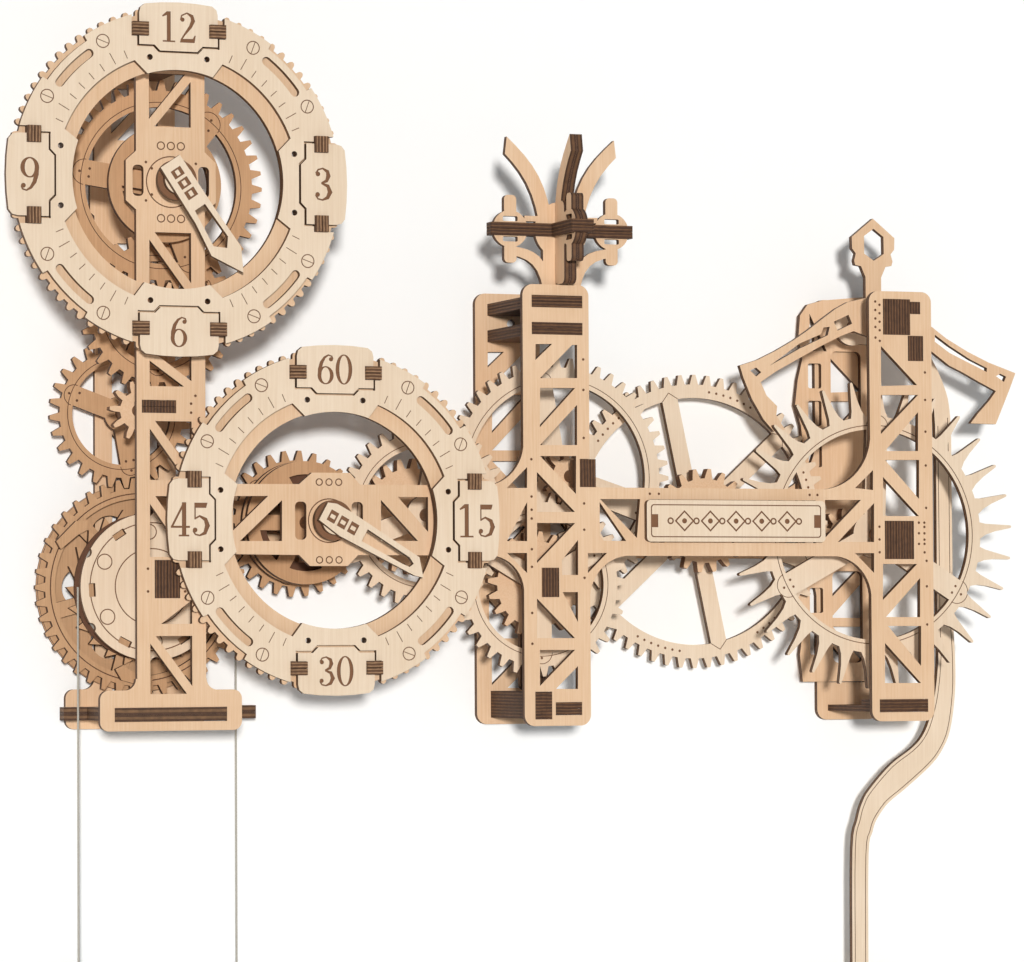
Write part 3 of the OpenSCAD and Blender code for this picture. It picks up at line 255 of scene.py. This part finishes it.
def stackedPlywood(name, tone, across, centre=(0, 0, 0)):
    material, tree = newMaterial(name)
    place = add(tree, "TexCoord")["Object"]
    parts = add(tree, "SeparateXYZ", {0: place})
    if across == "out":
        reach = []
        for k in (0, 2):
            away = add(tree, "Math", {0: parts[k], 1: centre[k]}, operation="SUBTRACT")[0]
            reach.append(add(tree, "Math", {0: away}, operation="ABSOLUTE")[0])
        along = add(tree, "Math", {0: reach[0], 1: reach[1]}, operation="MAXIMUM")[0]
    else:
        along = parts["xyz".index(across)]
    turns = add(tree, "Math", {0: along, 1: 2000 * math.pi / plywood["veneer"]}, operation="MULTIPLY")[0]
    waver = add(tree, "TexNoise", {0: place, "Scale": 1000 / plywood["waver"], "Detail": 3.0})[0]
    phase = add(tree, "Math", {0: waver, 1: stackLook["waver"], 2: turns}, operation="MULTIPLY_ADD")[0]
    wave = add(tree, "Math", {0: phase}, operation="COSINE")[0]
    layer = add(tree, "MapRange", {0: wave, 1: stackLook["darkFrom"], 2: stackLook["paleFrom"]})[0]
    colours = {6: linear(tone["edge"]), 7: linear(tone["core"])}
    colour = sooted(tree, place, add(tree, "Mix", {0: layer, **colours}, data_type="RGBA")[2], tone)
    bump = add(tree, "Bump", {"Strength": stackLook["strength"], "Distance": plywood["relief"] * mm,
                              "Height": wave})[0]
    finishWith(tree, colour, stackLook["rough"], bump, IOR=woodIor)
    return material


# sanded birch dowel and stacked pinions: warm wood, grain along the arbor, darker cut sides
def turnedWood(name, tone):
    material, tree = newMaterial(name)
    place = add(tree, "TexCoord")["Object"]
    facing = add(tree, "SeparateXYZ", {0: add(tree, "NewGeometry")["Normal"]})[1]
    fibres, face = woodFace(tree, place, tone, longWay=1)
    colours = {6: linear(tone["core"]), 7: linear(tone["edge"])}
    side = add(tree, "Mix", {0: fibres, **colours}, data_type="RGBA")[2]
    colour = add(tree, "Mix", {0: faceMask(tree, facing), 6: side, 7: face}, data_type="RGBA")[2]
    finishWith(tree, colour, 0.7, fibreBump(tree, fibres), IOR=woodIor)
    return material


# twisted polyester cord: pale grey, matt, with fibres lying along the strands; fibre sizes in millimetres
polyester = {"light": "#C9C4BA", "shade": "#8F897E", "wide": 0.25, "long": 0.667, "relief": 0.1, "rough": 0.8}


def twistedPolyester(name):
    material, tree = newMaterial(name)
    place = add(tree, "TexCoord")["Object"]
    stretch = [1000 / polyester[k] for k in ("wide", "wide", "long")]
    drawnOut = add(tree, "Mapping", {0: place, 3: stretch})[0]
    fibres = add(tree, "TexNoise", {0: drawnOut, "Scale": 1.0, "Detail": 3.0})[0]
    colours = {6: linear(polyester["light"]), 7: linear(polyester["shade"])}
    colour = add(tree, "Mix", {0: fibres, **colours}, data_type="RGBA")[2]
    bump = add(tree, "Bump", {"Strength": 0.3, "Distance": polyester["relief"] * mm, "Height": fibres})[0]
    finishWith(tree, colour, polyester["rough"], bump)
    return material


# lathe-turned zinc-plated steel: satin grey, with fine rings left by the tool; sizes in millimetres
zinc = {"light": "#B4B5B8", "shade": "#8F9194", "feed": 0.349, "cloud": 16.7, "relief": 0.1, "rough": 0.25,
        "uneven": 0.25}


def turnedSteel(name):
    material, tree = newMaterial(name)
    place = add(tree, "TexCoord")["Object"]
    perMetre = 1000 / zinc["feed"] * math.tau / 20  # a band texture of scale 1 has 20 / tau bands to the metre
    rings = add(tree, "TexWave", {0: place, "Scale": perMetre, "Distortion": 1.5, "Detail": 2.0},
                wave_type="BANDS", bands_direction="Z")[1]
    cloud = add(tree, "TexNoise", {0: place, "Scale": 1000 / zinc["cloud"], "Detail": 4.0})[0]
    colours = {6: linear(zinc["light"]), 7: linear(zinc["shade"])}
    colour = add(tree, "Mix", {0: cloud, **colours}, data_type="RGBA")[2]
    rough = add(tree, "Math", {0: cloud, 1: zinc["uneven"], 2: zinc["rough"]}, operation="MULTIPLY_ADD")[0]
    bump = add(tree, "Bump", {"Strength": 0.08, "Distance": zinc["relief"] * mm, "Height": rings})[0]
    finishWith(tree, colour, rough, bump, Metallic=1.0)
    return material


tanSheet = laserPlywood("tan plywood sheet", tan)
tanCross = laserPlywood("tan plywood across", tan, axis=0, start=1.0)
paleSheets = {start: laserPlywood("pale plywood %.1f" % start, pale, start=start)
              for start in (0.0, -0.4, 1.0, 2.0)}
# sheets in the darker copy of the tan tone, which paints shade onto the wheels set back behind the plates
paintedShadeSheets = {start: laserPlywood("tan plywood with painted shade %.1f" % start, paintedShadeTan, start=start)
               for start in (0.0, 1.0, 2.0)}
palePlatform = laserPlywood("pale plywood shelf", pale, axis=2, start=-183.1, longWay=0)
ends = {across: stackedPlywood("charred ply ends " + across, tan, across) for across in ("x", "z")}
hourClip = stackedPlywood("clip ply hour", clipTone, "out", at(-161, 0, 131))
minuteClip = stackedPlywood("clip ply minute", clipTone, "out", at(-87.8, 0, -18.46))
dowel = turnedWood("birch dowel", tan)
cordFibre = twistedPolyester("twisted polyester")
steel = turnedSteel("turned steel")

finishOf = {
    tanSheet: ["tower_left_front", "tower_left_back", "main_front", "main_back", "rear_panel", "ornament_front",
               "hour_dial_rack", "minute_dial_rack", "anchor"],
    tanCross: ["ornament_side"],
    paleSheets[0.0]: ["nameplate", "hour_dial_ring", "minute_dial_ring", "fourth_wheel", "bob"],
    paleSheets[-0.4]: ["hour_plates", "minute_plates"],
    paleSheets[1.0]: ["drum_flange", "second_wheel", "third_wheel", "pendulum_rod"],
    paleSheets[2.0]: ["hour_hand", "minute_hand", "fifth_wheel", "escape_wheel"],
    # the wheels, collar, clicks, rings, drum core and pulley set back behind the plates take the darker tone as
    # painted shade
    paintedShadeSheets[0.0]: ["hour_collar", "hour_wheel", "transfer_wheel", "great_wheel", "clicks", "minute_wheel",
                       "minute_rings", "drum_core", "rear_pulley"],
    paintedShadeSheets[1.0]: ["motion_wheel"],
    paintedShadeSheets[2.0]: ["ratchet_wheel"],
    palePlatform: ["foot_platform"],
    ends["x"]: ["bearing_blocks"],
    ends["z"]: ["combs", "ornament_level"],
    hourClip: ["hour_clips"],
    minuteClip: ["minute_clips"],
    dowel: ["hour_arbor", "minute_arbor", "motion_arbor", "transfer_arbor", "second_arbor", "third_arbor",
            "fourth_arbor", "fifth_arbor", "fifth_pinion", "escape_arbor", "anchor_arbor", "hour_spacers",
            "minute_spacers"],
    steel: ["great_arbor", "weight", "counterweight"],
    cordFibre: ["weight_cord", "counter_cord"],
}


def dress(piece, material):
    piece.data.materials.clear()
    piece.data.materials.append(material)


for material, names in finishOf.items():
    for name in names:
        dress(nodes[name], material)
for c in cords.values():
    dress(c["piece"], cordFibre)
print("materials set on", sum(len(names) for names in finishOf.values()), "sheets and arbors")


cornerSoft = 0.2  # millimetres taken off a turned corner


# turned weights: every profile point, a radius and a height, is carried once round the vertical through spot
def turned(name, spot, profile, sides=64, steps=6):
    profile = np.array(profile, float)
    t = np.linspace(0, len(profile) - 1, (len(profile) - 1) * steps + 1)
    radius = np.interp(t, np.arange(len(profile)), profile[:, 0])
    height = np.interp(t, np.arange(len(profile)), profile[:, 1])
    a = np.linspace(0, 2 * np.pi, sides, endpoint=False)
    points = np.stack([spot.x + mm * radius[:, None] * np.cos(a), spot.y + mm * radius[:, None] * np.sin(a),
                       spot.z + mm * np.repeat(height[:, None], sides, 1)], -1)
    piece = meshFromRings(name, points)
    bevel = piece.modifiers.new("soft corners", "BEVEL")
    bevel.width = cornerSoft * mm
    bevel.segments = 2
    bevel.limit_method = "ANGLE"
    return piece


weights = {
    "weight": {"spot": at(-192.5, 41, -225), "profile": [
        (14.2, -45), (15, -44.2), (15, -38), (14.3, -37.5), (14.3, -36.5), (15, -36), (15, -14), (14.3, -13.5),
        (14.3, -12.5), (15, -12), (15, -7.5), (13.5, -5.5), (8.5, -3), (4, -2.4), (2.3, -2), (2.3, -0.6),
        (1.6, 0)]},
    "counterweight": {"spot": at(-114.7, 54, -225), "profile": [
        (4.6, -40), (5.4, -39.2), (5.4, -34), (4.9, -33.5), (4.9, -32.7), (5.4, -32.2), (5.4, -8), (4.9, -6.5),
        (3.2, -3.4), (2.3, -2.4), (2.3, -0.6), (1.6, 0)]},
}
for name, w in weights.items():
    piece = turned("turned_" + name, w["spot"], w["profile"])
    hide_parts(name)
    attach(piece, name)
    dress(piece, steel)
    w["piece"] = piece
for c in cords.values():
    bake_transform(c["piece"])
print("weights turned")


# cord wound on the drum and in the pulley's groove
coils = {
    "drum_winding": {"centre": at(-161, 36.6, -47.5), "radius": 29.5, "turns": 6, "pitch": 0.98},
    "pulley_winding": {"centre": at(-161, 53.25, -47.5), "radius": 45.4, "turns": 1.5, "pitch": 0.98},
}


# a circle of the cord's thickness carried along a helix about the drum's own axis
def winding(name, centre, radius, turns, pitch, thick=0.95, perTurn=120, sides=8):
    u, v = np.meshgrid(np.linspace(0, turns, int(turns * perTurn)),
                       np.linspace(0, 2 * np.pi, sides, endpoint=False), indexing="ij")
    around = 2 * np.pi * u
    reach = radius + thick / 2 * (1 + np.cos(v))
    back = pitch * u + thick / 2 + thick / 2 * np.sin(v)
    points = np.stack([centre.x + mm * reach * np.cos(around), centre.y + mm * back,
                       centre.z + mm * reach * np.sin(around)], -1)
    return meshFromRings(name, points[:, ::-1])


for name, c in coils.items():
    piece = winding(name, **c)
    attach(piece, "drum")
    dress(piece, cordFibre)
print("cord wound on the drum")


# wall, floor and light
def matt(name, colour):
    material, tree = newMaterial(name)
    finishWith(tree, linear(colour), 0.9)
    return material


def backdrop(name, corners, colour):
    mesh = bpy.data.meshes.new(name)
    mesh.from_pydata(corners, [], [(0, 1, 2, 3)])
    piece = bpy.data.objects.new(name, mesh)
    bpy.context.scene.collection.objects.link(piece)
    dress(piece, matt(name, colour))


# metres: the wall just behind the sheets, the floor below, half the width, the wall's top, the floor's depth
room = {"wall": 0.0006, "floor": -1.1, "half": 4.0, "top": 3.0, "deep": 6.0,
        "wallPaint": "#FBFBFB", "floorPaint": "#F4F4F4"}
left, right = -room["half"], room["half"]
back, low, high, front = room["wall"], room["floor"], room["top"], -room["deep"]
backdrop("wall", [(left, back, low), (right, back, low), (right, back, high), (left, back, high)],
         room["wallPaint"])
backdrop("floor", [(left, front, low), (right, front, low), (right, back, low), (left, back, low)],
         room["floorPaint"])

# a broad key from the front and a little above, and a weak cool sky that keeps the gaps between the sheets dark
lights = {"toward": (0.30, 1.0, -0.08), "strength": 2.55, "warmth": (1.0, 0.985, 0.955), "spread": 5.0,
          "sky": 0.24, "skyColour": (0.86, 0.95, 1.0, 1.0)}


def makeLights():
    data = bpy.data.lights.new("key", "SUN")
    data.energy = lights["strength"]
    data.color = lights["warmth"]
    data.angle = math.radians(lights["spread"])
    lamp = bpy.data.objects.new("key", data)
    lamp.rotation_euler = Vector(lights["toward"]).to_track_quat("-Z", "Y").to_euler()
    bpy.context.scene.collection.objects.link(lamp)
    world = bpy.data.worlds.new("studio")
    bpy.context.scene.world = world
    world.use_nodes = True
    background = world.node_tree.nodes["Background"].inputs
    background[0].default_value = lights["skyColour"]
    background[1].default_value = lights["sky"]
    bpy.context.scene.view_settings.view_transform = "Standard"


makeLights()
print("wall and light set")
